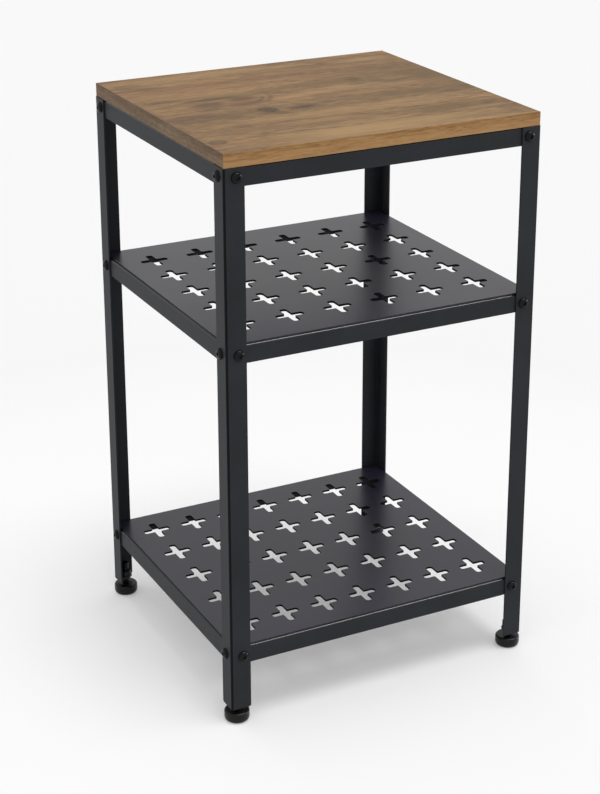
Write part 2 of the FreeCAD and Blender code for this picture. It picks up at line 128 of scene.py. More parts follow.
class ShelfSizes(bpy.types.PropertyGroup):
    """Cut-outs and edges of the shelf panels."""

    sheet: length("Sheet", "Sheet thickness of a panel", 1.5)
    corner: length("Corner", "Corner radius of a panel", 3)
    plus_width: length("Cut-out width", "Plus cut-out, left to right", 35)
    plus_depth: length("Cut-out depth", "Plus cut-out, front to back", 40)
    plus_arm: length("Arm", "Width of a plus arm", 9)
    tip_radius: length("Tip radius", "Corner radius at the tip of an arm", 3.2)
    crotch_radius: length("Crotch radius", "Radius between two arms", 1)
    lip_height: length("Lip height", "Height of the pressed lip, sheet included", 2.6)
    edge: length("Coated edge", "Radius that the coating leaves on an edge", 0.3)
    border: length("Border", "How far inside the panel's edge a wall counts as a cut-out's", 4)


class FastenerSizes(bpy.types.PropertyGroup):
    """Button-head bolts."""

    inset: length("Inset", "From a leg's corner to a bolt's axis", 15.5)
    head: length("Head", "Bolt head, across", 13)
    height: length("Head height", "Bolt head height", 3.6)
    rim: length("Rim", "Upright rim under the dome", 0.6)
    crown: length("Crown", "Flat crown of the head, across", 5)
    hex_key: length("Hexagon", "Hexagon socket, across flats", 4)
    hex_depth: length("Socket depth", "Hexagon socket depth", 2.2)
    mouth: length("Socket mouth", "Depth of the chamfer round the socket", 0.12)
    cone: length("Socket cone", "Depth of the drilled cone under the socket", 0.5)
    shank: length("Shank", "Bolt shank, across", 6)
    reach: length("Reach", "From under the head to the tip", 11)
    chamfer: length("Chamfer", "Chamfer at the shank's tip", 0.6)


class GlideSizes(bpy.types.PropertyGroup):
    """Moulded glides of the feet; their profile's lower part is in GLIDE_FOOT."""

    flare: length("Flare", "Height over which the side flares out", 5.1)
    shoulder: length("Shoulder", "Radius of the shoulder", 2.4)
    bore: length("Bore", "Bore for the stud, across", 8.2)
    bore_mouth: length("Bore mouth", "Depth of the chamfer round the bore", 0.4)
    floor: length("Floor", "Height of the bore's floor", 4)


class FinishColours(bpy.types.PropertyGroup):
    """Colours of the finishes."""

    foil_mid: colour("Foil, middle", "Main tone of the wood-grain foil", "#8D7052")
    foil_light: colour("Foil, light", "Light grain of the foil", "#A98A62")
    foil_dark: colour("Foil, dark", "Smoky zones and dark grain", "#675443")
    foil_red: colour("Foil, red", "Reddish bands of the foil", "#86644A")
    foil_olive: colour("Foil, olive", "Olive zones of the foil", "#756046")
    foil_knot: colour("Foil, knot", "Knot of the foil", "#4C433D")
    backing: colour("Backing", "Plain backing paper under the board", "#8A7864")
    band_front: colour("Front band", "Main tone of the front and back bands", "#A98256")
    band_front_light: colour("Front band, light", "Light grain of these bands", "#B58E63")
    band_front_dark: colour("Front band, dark", "Dark grain of these bands", "#8B6741")
    band_side: colour("Side band", "Main tone of the side bands", "#776350")
    band_side_light: colour("Side band, light", "Light grain of these bands", "#907A5E")
    band_side_dark: colour("Side band, dark", "Dark grain of these bands", "#604D3A")
    coat: colour("Powder coat", "Black powder coat of the angles", "#222428")
    panel_coat: colour("Panel coat", "Black powder coat of the panels", "#1F1D2B")
    # Painted shade: darker than the angles' coat, along a rail's bend.
    bend: colour("Rail bend", "Powder coat along a rail's bend", "#0F0F12")
    # Painted shade: a near-black line along a leg's bend.
    leg_bend: colour("Leg bend", "Thin coat along a leg's bend", "#0B0B0D")
    # Painted shade: the cut-outs' walls are near black, in two tones for the tear marks.
    punched_painted_shade_dark: colour("Punched wall, dark", "Tear marks in a cut-out's wall", "#050506")
    punched_painted_shade_light: colour("Punched wall, light", "Coat between the tear marks", "#0B0B0C")
    bolt_dark: colour("Bolt, dark", "Dark grain of the bolt steel", "#09090B")
    bolt_light: colour("Bolt, light", "Light grain of the bolt steel", "#101012")
    zinc: colour("Zinc", "Zinc plating", "#B9BCC0")
    moulding: colour("Glide", "Moulded glide", "#0E0E10")
    # Painted shade: the sheet's colour darkens with distance from the object.
    floor: colour("Floor", "Light table near the object", "#E7E7E7")
    far_floor_painted_shade: colour("Far floor", "Light table far from the object", "#D5D5D5")
    backdrop: colour("Backdrop", "Studio backdrop", "#F9F9F9")


class StageSizes(bpy.types.PropertyGroup):
    """Camera, lamps and floor."""

    floor_size: length("Floor", "Side of the floor", 40000)
    lens: number("Lens", "Focal length for a 36 mm film side", 84.78, unit="CAMERA")
    shift: number("Shift", "Vertical lens shift", -0.1259)
    key: number("Key lamp", "Strength of the key lamp", 0.8)
    key_spread: angle("Key spread", "Angle that the key lamp fills", 24)
    glint: number("Edge glint", "Strength of the upper lamp that only reflections show", 1.5)
    glint_spread: angle("Edge glint spread", "Angle that the upper lamp fills", 14)
    side: number("Side glint", "Strength of the side lamp that only reflections show", 1.35)
    side_spread: angle("Side glint spread", "Angle that the side lamp fills", 21)
    ambient: number("Ambient", "Strength of the studio's own light", 0.8)
    glow: number("Glow", "Light that shows through the light table", 0.25)


class TableSettings(bpy.types.PropertyGroup):
    """All the settings of the table."""

    frame: PointerProperty(type=FrameSizes)
    shelf: PointerProperty(type=ShelfSizes)
    bolt: PointerProperty(type=FastenerSizes)
    glide: PointerProperty(type=GlideSizes)
    colours: PointerProperty(type=FinishColours)
    stage: PointerProperty(type=StageSizes)


# ---------------------------------------------------------------- modelling helpers


def mode(name):
    """Sets the mode of the active object."""
    bpy.ops.object.mode_set(mode=name)


def deselect():
    """Leaves edit mode and deselects everything."""
    if bpy.context.object and bpy.context.object.mode != "OBJECT":
        mode("OBJECT")
    bpy.ops.object.select_all(action="DESELECT")


def focus(piece):
    """Makes one object the selected and active one."""
    deselect()
    piece.select_set(True)
    bpy.context.view_layer.objects.active = piece


def pick(kind, test):
    """In edit mode, selects the vertices, edges or faces whose place passes the test."""
    modes = {"verts": "VERT", "edges": "EDGE", "faces": "FACE"}
    bpy.ops.mesh.select_all(action="DESELECT")
    bpy.ops.mesh.select_mode(type=modes[kind])
    mesh = bmesh.from_edit_mesh(bpy.context.object.data)
    for element in getattr(mesh, kind):
        if kind == "verts":
            chosen = test(element.co)
        elif kind == "edges":
            chosen = all(test(vertex.co) for vertex in element.verts)
        else:
            chosen = test(element.calc_center_median())
        if chosen:
            element.select_set(True)
    mesh.select_flush_mode()
    bmesh.update_edit_mesh(bpy.context.object.data)


def bevel(kind, test, width, segments):
    """In edit mode, rounds the edges or vertices whose place passes the test."""
    pick(kind, test)
    affect = {"edges": "EDGES", "verts": "VERTICES"}[kind]
    bpy.ops.mesh.bevel(offset=width, segments=segments, affect=affect)


def face_outwards():
    """In edit mode, turns every face of a shell the same way, outwards where it is closed."""
    bpy.ops.mesh.select_all(action="SELECT")
    bpy.ops.mesh.normals_make_consistent(inside=False)


def begin(name):
    """Names the primitive that was just added, applies its place and opens it in edit mode."""
    piece = bpy.context.object
    piece.name = name
    bpy.ops.object.transform_apply()
    mode("EDIT")
    return piece


def near(a, b, slack=0.02 * MM):
    """True where two lengths agree."""
    return abs(a - b) < slack


def extrude(vector):
    """Extrudes the selection along a vector."""
    bpy.ops.mesh.extrude_region_move(TRANSFORM_OT_translate={"value": vector})


def modify(piece, kind, **settings):
    """Adds a modifier to the piece and applies it."""
    focus(piece)
    modifier = piece.modifiers.new(kind.lower(), kind)
    for name, value in settings.items():
        setattr(modifier, name, value)
    bpy.ops.object.modifier_apply(modifier=modifier.name)


def round_edges(piece, width):
    """Rounds every edge of a piece that is sharper than 50 degrees and shades it smooth."""
    limit = math.radians(50)
    modify(piece, "BEVEL", width=width, segments=2, limit_method="ANGLE", angle_limit=limit)
    smooth(piece)


def smooth(piece):
    """Shades a piece smooth up to 35 degrees and keeps its flat faces flat."""
    focus(piece)
    bpy.ops.object.shade_smooth_by_angle(angle=math.radians(35))
    modify(piece, "WEIGHTED_NORMAL", mode="FACE_AREA", weight=80, keep_sharp=True)


def stood(place, degrees):
    """The matrix that turns a piece about the upright axis and sets it in its place."""
    return Matrix.Translation(place) @ Matrix.Rotation(math.radians(degrees), 4, "Z")


def outer(sign, low, high):
    """The end of a span that a sign points to; a sign of 0 points to the table's middle."""
    return {-1: low, 0: 0.0, 1: high}[sign]


def quarter(steps, first=1):
    """The sine and cosine at even steps over a quarter turn."""
    angles = [math.pi / 2 * step / steps for step in range(first, steps + 1)]
    return [(math.sin(turn), math.cos(turn)) for turn in angles]


def placed_copy(master, name, matrix):
    """A copy of a piece with its own mesh, moved in the mesh itself."""
    piece = master.copy()
    piece.data = master.data.copy()
    piece.name = piece.data.name = name
    bpy.context.collection.objects.link(piece)
    piece.data.transform(matrix)
    piece.data.update()
    return piece


def discard(piece):
    """Removes a master once its copies are made."""
    bpy.data.meshes.remove(piece.data)


def join(pieces, name):
    """Joins pieces into one and names it."""
    focus(pieces[0])
    for piece in pieces:
        piece.select_set(True)
    bpy.ops.object.join()
    joined = bpy.context.object
    joined.name = joined.data.name = name
    return joined


def hand_over(piece, body, material, slot, *nodes):
    """Gives a finished piece its finish and body, and hides the CAD nodes it stands for."""
    piece.data.materials.clear()
    piece.data.materials.append(material)
    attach(piece, body)
    if nodes:
        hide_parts(*nodes)


def second_finish(piece, material, test):
    """Gives the faces of a piece that pass the test a finish of their own."""
    piece.data.materials.append(bpy.data.materials[material])
    for face in piece.data.polygons:
        if test(face.center, face.normal):
            face.material_index = 1


def dress(node_name, material):
    """Gives a CAD node that stays its finish."""
    node = frame["nodes"][node_name]
    for slot in node.material_slots:
        slot.material = material
    if not node.material_slots:
        node.data.materials.append(material)


def turned(name, rings, segments):
    """A turned solid: a disc that is extruded and resized ring by ring, given as radius, height."""
    radius, height = rings[0]
    deselect()
    bpy.ops.mesh.primitive_circle_add(
        vertices=segments, radius=radius, fill_type="NGON", location=(0, 0, height)
    )
    piece = begin(name)
    bpy.ops.mesh.select_mode(type="FACE")
    bpy.ops.mesh.select_all(action="SELECT")
    bpy.ops.mesh.extrude_region_move()
    for next_radius, next_height in rings[1:]:
        bpy.ops.transform.translate(value=(0, 0, next_height - height))
        ratio = next_radius / radius
        bpy.ops.transform.resize(value=(ratio, ratio, 1), center_override=(0, 0, next_height))
        radius, height = next_radius, next_height
        if (next_radius, next_height) != rings[-1]:
            bpy.ops.mesh.extrude_region_move()
    face_outwards()
    mode("OBJECT")
    return piece


# ---------------------------------------------------------------- material helpers


def add(tree, kind, settings=None, **inputs):
    """Adds a node with its settings; an input is a constant or a socket to link from."""
    made = tree.nodes.new(kind)
    for name, value in (settings or {}).items():
        setattr(made, name, value)
    for name, value in inputs.items():
        key = int(name[1:]) if name[0] == "i" and name[1:].isdigit() else name.replace("_", " ")
        socket = made.inputs[key]
        if isinstance(value, bpy.types.NodeSocket):
            tree.links.new(value, socket)
        else:
            socket.default_value = value
    return made


def rgba(values):
    """A colour with full alpha."""
    return (*values, 1)


def shades(tone, *factors):
    """A colour made darker or lighter by each factor."""
    return [[min(1, channel * factor) for channel in tone] for factor in factors]


def new_material(name):
    """An empty node material, its tree and the place on the object that textures follow."""
    material = bpy.data.materials.get(name) or bpy.data.materials.new(name)
    material.use_nodes = True
    tree = material.node_tree
    tree.nodes.clear()
    return material, tree, add(tree, "ShaderNodeTexCoord").outputs["Object"]


def surface(tree, base, roughness, relief=None, **inputs):
    """The shader and the output; a relief is given as height socket, strength and distance."""
    if relief:
        height, strength, distance = relief
        bump = add(tree, "ShaderNodeBump", Height=height, Strength=strength, Distance=distance)
        inputs["Normal"] = bump.outputs[0]
    shader = add(
        tree, "ShaderNodeBsdfPrincipled", Base_Color=base, Roughness=roughness, **inputs
    )
    add(tree, "ShaderNodeOutputMaterial", Surface=shader.outputs["BSDF"])


def noise(tree, place, scale, detail=2.0, roughness=0.5, flat=False, output="Fac"):
    """A noise texture, its scale in cycles per metre; a flat one is the same at every height."""
    made = add(
        tree,
        "ShaderNodeTexNoise",
        {"noise_dimensions": "2D" if flat else "3D"},
        Vector=place,
        Scale=scale,
        Detail=detail,
        Roughness=roughness,
    )
    return made.outputs[output]


def stretched(tree, place, *scale):
    """A place scaled along each axis."""
    return add(tree, "ShaderNodeMapping", Vector=place, Scale=scale).outputs[0]


def ramp(tree, factor, *stops):
    """A colour ramp with its stops given as position and colour or grey."""
    made = add(tree, "ShaderNodeValToRGB", i0=factor)
    elements = made.color_ramp.elements
    while len(elements) < len(stops):
        elements.new(0.5)
    for element, (position, value) in zip(elements, stops):
        element.position = position
        element.color = rgba(value) if hasattr(value, "__len__") else (value, value, value, 1)
    return made.outputs["Color"]


def math_node(tree, operation, first, second=0.0, third=0.0, clamp=False):
    """The result of a Math node."""
    settings = {"operation": operation, "use_clamp": clamp}
    return add(tree, "ShaderNodeMath", settings, i0=first, i1=second, i2=third).outputs[0]


def vector_node(tree, operation, output="Vector", **inputs):
    """The result of a Vector Math node."""
    return add(tree, "ShaderNodeVectorMath", {"operation": operation}, **inputs).outputs[output]


def smoothstep(tree, value, end, low=0.0, high=1.0):
    """Goes from low where the value is 0 to high at its end, easing in and out."""
    made = add(
        tree,
        "ShaderNodeMapRange",
        {"interpolation_type": "SMOOTHSTEP"},
        Value=value,
        From_Max=end,
        To_Min=low,
        To_Max=high,
    )
    return made.outputs["Result"]


def largest(tree, masks):
    """The strongest of several masks at each place."""
    total = masks[0]
    for mask in masks[1:]:
        total = math_node(tree, "MAXIMUM", total, mask)
    return total


def blend_colours(tree, factor, first, second):
    """Two colours mixed by a factor."""
    settings = {"data_type": "RGBA", "clamp_factor": True}
    return add(tree, "ShaderNodeMix", settings, i0=factor, i6=first, i7=second).outputs[2]


# ---------------------------------------------------------------- finishes


# Soft zones of the foil's print: centre x and y, half length and half width in millimetres, depth.
OLIVE_ZONES = (
    (120, -33, 130, 19, 0.85),
    (30, 58, 78, 9, 0.7),
    (140, 97, 66, 24, 0.5),
    (182, 30, 32, 40, 0.8),
    (120, -115, 70, 16, 0.8),
    (60, 178, 60, 8, 0.7),
    (-184, -137, 13, 9, 0.8),
    (192, -119, 9, 12, 0.8),
    (-66, 48, 60, 12, 0.7),
    (-85, -31, 50, 17, 0.8),
    (-160, -62, 50, 10, 0.5),
)
SMOKE_ZONES = (
    (-168, -34, 60, 18, 1.1),
    (-122, -46, 18, 9, 0.8),
    (-32, -38, 23, 13, 1.0),
    (4, -30, 16, 7, 0.7),
    (-180, 140, 34, 18, 0.5),
    (-168, 124, 44, 7, 0.9),
    (-162, 52, 46, 7, 0.8),
    (-110, 42, 46, 7, 1.0),
    (-76, 28, 24, 10, 0.9),
    (-20, 35, 22, 5, 0.5),
    (-124, 14, 28, 17, 1.0),
    (-84, 6, 34, 10, 0.8),
    (-132, -4, 24, 5, 0.8),
    (-74, -48, 22, 6, 0.8),
    (86, 59, 14, 7, 0.7),
    (80, 34, 18, 6, 0.9),
    (-121, -126, 7, 4, 0.9),
    (-120, -158, 60, 8, 0.3),
    (-185, 180, 20, 6, 0.7),
    (190, -35, 12, 22, 0.6),
    (165, -48, 24, 8, 0.8),
    (168, -119, 12, 6, 0.7),
    (-196, -60, 6, 90, 0.4),
)
RED_ZONES = (
    (10, 117, 180, 10, 0.6),
    (60, 86, 60, 14, 0.4),
    (40, 3, 130, 6, 0.4),
    (-110, -104, 90, 10, 0.3),
    (150, 168, 60, 12, 0.4),
)
PALE_ZONES = (
    (0, -75, 170, 17, 0.6),
    (-40, -104, 60, 9, 0.6),
    (0, -160, 175, 22, 1.1),
    (-30, -174, 140, 9, 0.8),
    (145, -132, 50, 5, 0.7),
    (-22, 10, 30, 7, 0.8),
    (20, 18, 40, 9, 0.8),
    (62, 28, 50, 14, 0.9),
    (140, 44, 30, 9, 0.3),
    (-60, 160, 150, 14, 0.5),
    (150, 150, 50, 12, 0.7),
    (-190, 25, 14, 18, 0.3),
    (-60, 98, 120, 8, 0.3),
    (90, -68, 60, 12, 0.7),
    (110, 14, 60, 9, 0.7),
    (70, -8, 50, 6, 0.5),
    (-70, 52, 30, 5, 0.6),
    (0, -128, 90, 9, 0.4),
)
# Where the print's grain parts round its knot: centre x and y, half length and half width of that
# zone in millimetres, and how far the grain there is drawn towards the centre's line.
KNOT = (-72, -32, 95, 60)
KNOT_DRAW = 0.55
# The knot's eye and the smoke beside it: centre x and y, half length and half width.
KNOT_EYE = (-69, -29, 16.5, 16.5)
KNOT_SMOKE = (-19, -33, 24, 10)
# Curved dark lines of the print: centre x and y of the curve, its radius and half width, and the
# centre, half length and half width of the spot that it shows in.
SWIRLS = (
    (-79, 38, 40, 6, -46, 24, 18, 30),
    (-79, 38, 31, 5, -62, 20, 22, 24),
    (-184, -137, 8, 5, -184, -139, 18, 13),
)


def spot(tree, place, x, y, half_x, half_y, core=0.4):
    """A soft oval mask at a place on the board: 1 in its core and 0 at its rim."""
    mapped = add(
        tree,
        "ShaderNodeMapping",
        {"vector_type": "TEXTURE"},
        Vector=place,
        Location=(x * MM, y * MM, 0),
        Scale=(half_x * MM, half_y * MM, 1e3),
    ).outputs[0]
    gradient = add(tree, "ShaderNodeTexGradient", {"gradient_type": "SPHERICAL"}, Vector=mapped)
    return smoothstep(tree, gradient.outputs["Fac"], 1 - core)


def zones(tree, place, table):
    """The masks of several zones as one, each at its own depth.

    A mask reaches a quarter past its zone along the grain and two fifths across, and fades there.
    """
    masks = []
    for x, y, half_x, half_y, depth in table:
        mask = spot(tree, place, x, y, half_x * 1.25, half_y * 1.4, 0.2)
        masks.append(math_node(tree, "MULTIPLY", mask, depth))
    return largest(tree, masks)


def swirls(tree, place):
    """The masks of the curved lines as one."""
    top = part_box("top_board")[1].z
    masks = []
    for x, y, radius, width, *window in SWIRLS:
        off = vector_node(tree, "DISTANCE", "Value", i0=place, i1=(x * MM, y * MM, top))
        off = math_node(tree, "ABSOLUTE", math_node(tree, "SUBTRACT", off, radius * MM))
        line = smoothstep(tree, off, width * MM, 1.0, 0.0)
        masks.append(math_node(tree, "MULTIPLY", line, spot(tree, place, *window)))
    return largest(tree, masks)


def board_foil(colours):
    """Melamine foil with a printed oak grain, pressed on particleboard.

    The print gives a matt brown face of straight grain with olive and smoky zones and one knot,
    and the press plate gives it a faint relief along the grain. The underside has plain paper.
    """
    material, tree, place = new_material("printed_oak_foil")
    # The grain parts round the knot: near it the place is drawn towards the knot's own line.
    around = spot(tree, place, *KNOT, 0.0)
    line = KNOT_DRAW * KNOT[1] * MM
    offset = vector_node(
        tree, "MULTIPLY_ADD", i0=place, i1=(0, -KNOT_DRAW, 0), i2=(0, line, 0)
    )
    drawn = vector_node(tree, "SCALE", i0=offset, Scale=around)
    parted = vector_node(tree, "ADD", i0=place, i1=drawn)
    # A slow wave, 20 mm at most, keeps the grain from running dead straight.
    slow = stretched(tree, place, 3.2, 6, 1)
    wander = noise(tree, slow, 1.0, 1.0, flat=True, output="Color")
    grained = vector_node(tree, "MULTIPLY_ADD", i0=wander, i1=(0, 0.02, 0), i2=parted)

    def grain(along, across, detail, roughness):
        """Noise drawn out along the grain, scales in cycles per metre."""
        mapped = stretched(tree, grained, along, across, 1)
        return noise(tree, mapped, 1.0, detail, roughness, flat=True)

    def share(value, amount, base):
        """Adds a noise to a tone, centred on none."""
        centred = math_node(tree, "SUBTRACT", value, 0.5)
        return math_node(tree, "MULTIPLY_ADD", centred, amount, base)

    broad = grain(2.5, 30, 3, 0.5)  # bands 35 mm wide that run most of the board's length
    fleck = grain(42, 180, 3, 0.65)  # flecks 6 mm wide and 25 mm long
    streak = grain(6, 110, 3, 0.55)  # streaks 9 mm wide
    fine = grain(16, 360, 2, 0.6)  # lines 3 mm wide
    fibre = grain(60, 1100, 2, 0.6)  # pores under 1 mm wide, the finest that shows
    hue = grain(1.8, 24, 2, 0.5)  # slow change between reddish and olive
    tone = 0.5
    for layer, amount in ((broad, 0.85), (streak, 0.55), (fleck, 0.95), (fine, 0.55), (fibre, 1.2)):
        tone = share(layer, amount, tone)
    tones = (colours.foil_dark, colours.foil_mid, colours.foil_light)
    base = ramp(tree, tone, *zip((0.1, 0.5, 0.9), tones))
    drift = share(hue, 4.0, 0.0)
    for amount, tint in ((0.5, colours.foil_red), (-0.5, colours.foil_olive)):
        mask = math_node(tree, "MULTIPLY", drift, amount, clamp=True)
        base = blend_colours(tree, mask, base, rgba(tint))
    # The zones fray along the grain, the pale ones less than the others.
    ragged = share(streak, 2.2, share(fine, 1.5, 0.8))
    soft = share(streak, 1.0, share(fine, 0.6, 0.8))
    lines = share(fleck, 2.5, 0.45)
    for mask, tint, fray in (
        (zones(tree, place, PALE_ZONES), colours.foil_light, soft),
        (zones(tree, place, RED_ZONES), colours.foil_red, ragged),
        (zones(tree, place, OLIVE_ZONES), colours.foil_olive, ragged),
        (zones(tree, place, SMOKE_ZONES), colours.foil_dark, ragged),
        (swirls(tree, place), colours.foil_knot, lines),
    ):
        mask = math_node(tree, "MULTIPLY", mask, fray, clamp=True)
        base = blend_colours(tree, mask, base, rgba(tint))
    # The knot: a dark rim, a lighter ring and a smoky heart, up to 6 mm out of round and speckled
    # by pores 3 mm wide, and the same speckle in the smoke beside it.
    lump = noise(tree, place, 60.0, flat=True, output="Color")
    lumpy = vector_node(tree, "MULTIPLY_ADD", i0=lump, i1=(0.006, 0.006, 0), i2=place)
    eye = spot(tree, lumpy, *KNOT_EYE, 0.0)
    rings = ramp(tree, eye, (0.0, 0.0), (0.4, 0.95), (0.65, 0.75), (0.9, 0.95), (1.0, 0.85))
    smoke = math_node(tree, "MULTIPLY", spot(tree, lumpy, *KNOT_SMOKE, 0.2), 0.55)
    speckle = share(noise(tree, place, 330.0, flat=True), 1.5, 0.78)
    dark = math_node(tree, "MULTIPLY", largest(tree, (rings, smoke)), speckle, clamp=True)
    base = blend_colours(tree, dark, base, rgba(colours.foil_knot))
    # Under the board is plain backing paper, cloudy with pulp.
    facing = add(tree, "ShaderNodeTexCoord").outputs["Normal"]
    facing = add(tree, "ShaderNodeSeparateXYZ", Vector=facing).outputs["Z"]
    under = math_node(tree, "LESS_THAN", facing, -0.5)
    pulp = noise(tree, place, 90.0, 4.0)  # 11 mm clouds
    paper = ramp(tree, pulp, *zip((0.35, 0.65), shades(colours.backing, 0.93, 1.07)))
    base = blend_colours(tree, under, base, paper)
    relief = (fibre, 0.1, 0.0002)
    surface(tree, base, share(streak, 0.1, 0.5), relief, IOR=1.5, Specular_IOR_Level=0.03)
    return material


def edge_foil(name, along_x, tones, fall, mottle):
    """Edge band: a printed melamine strip glued on, its grain along the edge, paler downwards."""
    material, tree, place = new_material(name)

    def grain(along, across, detail):
        """Noise drawn out along the band, centred on none, scales in cycles per metre."""
        scale = (along, across, across) if along_x else (across, along, across)
        drawn = noise(tree, stretched(tree, place, *scale), 1.0, detail)
        return math_node(tree, "SUBTRACT", drawn, 0.5)

    # From 0 at the band's lower edge to 1 at its top.
    low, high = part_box("edge_band_front")
    tall = high.z - low.z
    height = add(tree, "ShaderNodeSeparateXYZ", Vector=place).outputs["Z"]
    rise = math_node(tree, "MULTIPLY_ADD", height, 1 / tall, -low.z / tall)
    tone = math_node(tree, "MULTIPLY_ADD", rise, -fall, 0.5 + fall / 2)
    tone = math_node(tree, "MULTIPLY_ADD", grain(12, 260, 3), 0.7, tone)  # streaks 4 mm wide
    fibre = grain(90, 900, 2)  # fibres 1.1 mm wide
    tone = math_node(tree, "MULTIPLY_ADD", fibre, mottle, tone)
    base = ramp(tree, tone, *zip((0.2, 0.5, 0.8), tones))
    surface(tree, base, 0.5, (fibre, 0.1, 0.0002), Specular_IOR_Level=0.05)
    return material


def coated_sheet(name, coat, roughness, level):
    """Satin black powder coat on sheet steel.

    Baking leaves a closed, faintly rippled skin: near black, with soft reflections that brighten
    towards grazing angles. The wide panels bake flatter and a little glossier than the angles.
    """
    _, tree, place = new_material(name)
    ripple = noise(tree, place, 600.0)  # 1.7 mm ripple
    cloud = noise(tree, place, 12.0, 3.0)  # 80 mm clouds
    mixed = math_node(tree, "MULTIPLY_ADD", ripple, 0.6, cloud)
    base = ramp(tree, mixed, *zip((0.5, 1.0), shades(coat, 0.7, 1.3)))
    rough = math_node(tree, "MULTIPLY_ADD", cloud, 0.08, roughness - 0.04)
    surface(tree, base, rough, (ripple, 0.08, 0.0003), IOR=1.5, Specular_IOR_Level=level)


def powder_coats(colours):
    """The coat on angles and panels, the bends' coats with painted shade, and near-black painted
    shade on the panels' punched walls.
    """
    coated_sheet("satin_black_powder_coat", colours.coat, 0.5, 0.18)
    coated_sheet("satin_black_panel_coat", colours.panel_coat, 0.31, 0.37)
    # The press bar leaves a rail's bend smooth, and the coat there is the shiniest; its colour,
    # darker than the angles' coat, is painted shade along the bend.
    coated_sheet("burnished_coat_on_rail_bend", colours.bend, 0.25, 0.36)
    # Powder draws back from a leg's upright corner, where the coat stays thin and dull.
    # A leg's upright corner gets a near-black, dull coat: a painted shade line along the bend.
    coated_sheet("thin_coat_on_leg_bend", colours.leg_bend, 0.55, 0.1)
    _, tree, place = new_material("thin_coat_on_punched_wall")
    # The walls are painted near black, painted shade inside the cut-outs, streaked with upright
    # tear marks that stay matt.
    marks = noise(tree, stretched(tree, place, 1, 1, 0.15), 1500.0)
    base = ramp(tree, marks, (0.3, colours.punched_painted_shade_dark), (0.7, colours.punched_painted_shade_light))
    surface(tree, base, 0.75, Specular_IOR_Level=0.12)


def bolt_steel(colours):
    """Blackened and lightly oiled bolt steel: darker and glossier than the coated sheet."""
    _, tree, place = new_material("blackened_bolt_steel")
    grain = noise(tree, place, 1500.0)
    base = ramp(tree, grain, (0.3, colours.bolt_dark), (0.7, colours.bolt_light))
    rough = math_node(tree, "MULTIPLY_ADD", grain, 0.1, 0.2)
    surface(tree, base, rough, IOR=1.5, Specular_IOR_Level=0.15)


def zinc_plate(colours):
    """Bright zinc plate on steel: bluish silver, slightly cloudy from its passivation."""
    _, tree, place = new_material("zinc_plated_steel")
    cloud = noise(tree, place, 300.0, 3.0)
    base = ramp(tree, cloud, *zip((0.3, 0.7), shades(colours.zinc, 0.8, 1.1)))
    rough = math_node(tree, "MULTIPLY_ADD", cloud, 0.15, 0.25)
    surface(tree, base, rough, Metallic=1.0)


def glide_plastic(colours):
    """Injection-moulded black polyamide: glossy from a polished mould, with a fine skin."""
    _, tree, place = new_material("moulded_black_polyamide")
    skin = noise(tree, place, 1200.0, 1.0)
    base = ramp(tree, skin, *zip((0.3, 0.7), shades(colours.moulding, 0.9, 1.0)))
    rough = math_node(tree, "MULTIPLY_ADD", skin, 0.08, 0.28)
    surface(tree, base, rough, IOR=1.53, Specular_IOR_Level=0.2)


def backdrop_rays(tree):
    """1 for the rays that show the background: the camera's, reflected and refracted ones."""
    path = add(tree, "ShaderNodeLightPath").outputs
    kinds = ("Is Camera Ray", "Is Glossy Ray", "Is Transmission Ray")
    return largest(tree, [path[kind] for kind in kinds])


def studio_floor(colours, glow):
    """Opal acrylic of a light table, matt on top, which glows evenly from below.

    The glow lifts the object's shadow, and the sheet's colour darkens with distance from the
    object: painted shade.
    """
    material, tree, place = new_material("matt_opal_acrylic")
    away = vector_node(tree, "LENGTH", "Value", i0=place)
    distance = math_node(tree, "MULTIPLY_ADD", noise(tree, place, 1.2), 0.2, away)
    span = math_node(tree, "DIVIDE", distance, 1.8)
    # Painted shade: the sheet darkens from near the object to far from it.
    base = ramp(tree, span, (0.1, colours.floor), (0.6, colours.far_floor_painted_shade))
    lit = math_node(tree, "MULTIPLY", backdrop_rays(tree), glow)
    white = rgba((1, 1, 1))
    surface(
        tree, base, 0.95, Specular_IOR_Level=0.0, Emission_Color=white, Emission_Strength=lit
    )
    return material


# ---------------------------------------------------------------- operators


class TableOperator:
    """What the table's operators share."""

    bl_options = {"REGISTER", "UNDO"}

    @property
    def sizes(self):
        """The table's settings."""
        return bpy.context.scene.end_table


class TABLE_OT_board(TableOperator, bpy.types.Operator):
    """Dresses the board's faces and models its four edge bands"""

    bl_idname = "end_table.board"
    bl_label = "Board and edge bands"

    def execute(self, context):
        """Makes each band from a block and rounds its outer corners as a trimmer does."""
        colours = self.sizes.colours
        dress("top_board", board_foil(colours))
        golden = (colours.band_front_dark, colours.band_front, colours.band_front_light)
        brown = (colours.band_side_dark, colours.band_side, colours.band_side_light)
        front = edge_foil("printed_band_golden", True, golden, 0.4, 1.0)
        side = edge_foil("printed_band_brown", False, brown, 0.25, 0.8)
        for name, sign_x, sign_y, _ in SIDES:
            low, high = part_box("edge_band_" + name)
            deselect()
            bpy.ops.mesh.primitive_cube_add(size=1, location=(low + high) / 2, scale=high - low)
            band = begin("edge_band_%s_trimmed" % name)
            axis, sign = (0, sign_x) if sign_x else (1, sign_y)
            face = outer(sign, low[axis], high[axis])
            bevel("edges", lambda co: near(co[axis], face), self.sizes.frame.band_edge, 3)
            mode("OBJECT")
            smooth(band)
            material = front if sign_y else side
            hand_over(band, "table", material, "edge_band", "edge_band_" + name)
        return {"FINISHED"}


